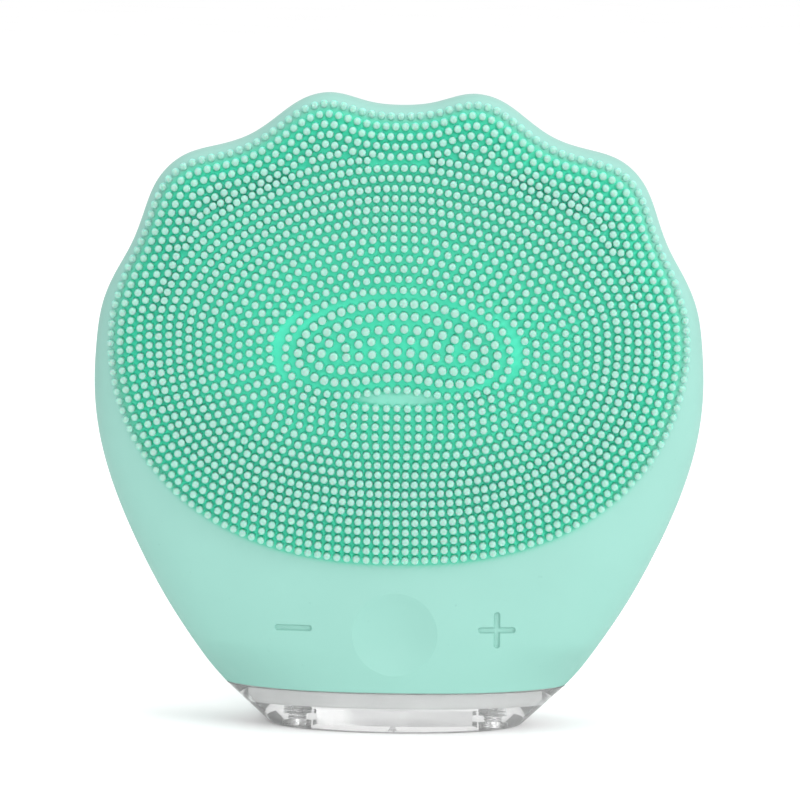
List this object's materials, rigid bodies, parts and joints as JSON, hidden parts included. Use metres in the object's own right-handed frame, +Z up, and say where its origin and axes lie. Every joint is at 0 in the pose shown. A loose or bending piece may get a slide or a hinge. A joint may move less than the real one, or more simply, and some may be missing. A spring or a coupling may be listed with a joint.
{
  "type": "facial cleansing brush",
  "caption": "Hand-held facial cleansing brush: shell-shaped silicone body with a dense bristle field, three buttons and a clear foot.",
  "frame": {"origin": "centre of the flat underside of the clear foot", "axes": "+Z up towards the lobed rim, -Y out of the bristled front, +X to the right as seen from the front"},
  "size_m": [0.0852, 0.027, 0.0887],
  "materials": {
    "mint_silicone": "matt moulded silicone, soft touch",
    "bristle_silicone": "matt moulded silicone bristles",
    "white_abs": "as moulded",
    "black_rubber": "moulded",
    "grey_rubber": "moulded",
    "steel": "zinc plated",
    "clear_plastic": "polished clear plastic",
    "frosted_plastic": "frosted, translucent",
    "black_plastic": "as moulded",
    "board_laminate": "green solder mask",
    "ceramic": "fired ceramic",
    "led_lens": "clear lens",
    "brass": "turned or stamped",
    "lead_insulation": "extruded insulation",
    "cell_foil": "crimped foil pouch",
    "foam": "closed-cell foam",
    "motor_steel": "drawn and plated",
    "magnet": "sintered ferrite",
    "tungsten": "sintered heavy alloy"
  },
  "bodies": {
    "housing": {"front_silicone_skin": "mint_silicone", "back_silicone_skin": "mint_silicone", "bristle_field": "bristle_silicone", "front_inner_shell": "white_abs", "back_inner_shell": "white_abs", "shell_seal": "black_rubber", "shell_screws": "steel", "clear_foot": "clear_plastic", "foot_screws": "steel", "foot_gasket": "grey_rubber", "light_diffuser": "frosted_plastic", "power_switch_body": "steel", "minus_switch_body": "steel", "plus_switch_body": "steel", "circuit_board": "board_laminate", "board_screws": "steel", "controller_chip": "black_plastic", "charger_chip": "black_plastic", "board_passives": "ceramic", "indicator_leds": "led_lens", "charging_jack": "black_plastic", "jack_terminals": "brass", "charging_leads": "lead_insulation", "battery_cell": "cell_foil", "battery_tray": "white_abs", "tray_screws": "steel", "battery_foam": "foam", "battery_leads": "lead_insulation", "motor_can": "motor_steel", "motor_end_cap": "black_plastic", "motor_bushes": "brass", "motor_magnets": "magnet", "motor_sleeve": "grey_rubber", "motor_bracket": "white_abs", "motor_clamp": "white_abs", "clamp_screws": "steel", "motor_foam": "foam", "motor_leads": "lead_insulation"},
    "power_button": {"power_button_pad": "mint_silicone", "power_plunger": "white_abs", "power_switch_stem": "black_plastic"},
    "minus_button": {"minus_button_pad": "mint_silicone", "minus_plunger": "white_abs", "minus_switch_stem": "black_plastic"},
    "plus_button": {"plus_button_pad": "mint_silicone", "plus_plunger": "white_abs", "plus_switch_stem": "black_plastic"},
    "motor_rotor": {"rotor_core": "motor_steel", "motor_shaft": "steel", "eccentric_weight": "tungsten"}
  },
  "joints": [
    {"name": "power_button_press", "type": "slide", "parent": "housing", "child": "power_button", "axis": [0, 1, 0], "range_m": [0, 0.00035], "stiffness_N_per_m": 3000, "springref_m": -0.0001},
    {"name": "minus_button_press", "type": "slide", "parent": "housing", "child": "minus_button", "axis": [0, 1, 0], "range_m": [0, 0.00035], "stiffness_N_per_m": 3000, "springref_m": -0.0001},
    {"name": "plus_button_press", "type": "slide", "parent": "housing", "child": "plus_button", "axis": [0, 1, 0], "range_m": [0, 0.00035], "stiffness_N_per_m": 3000, "springref_m": -0.0001},
    {"name": "motor_spin", "type": "hinge", "parent": "housing", "child": "motor_rotor", "pos_m": [0, 0, 0.0645], "axis": [1, 0, 0], "continuous": true}
  ]
}
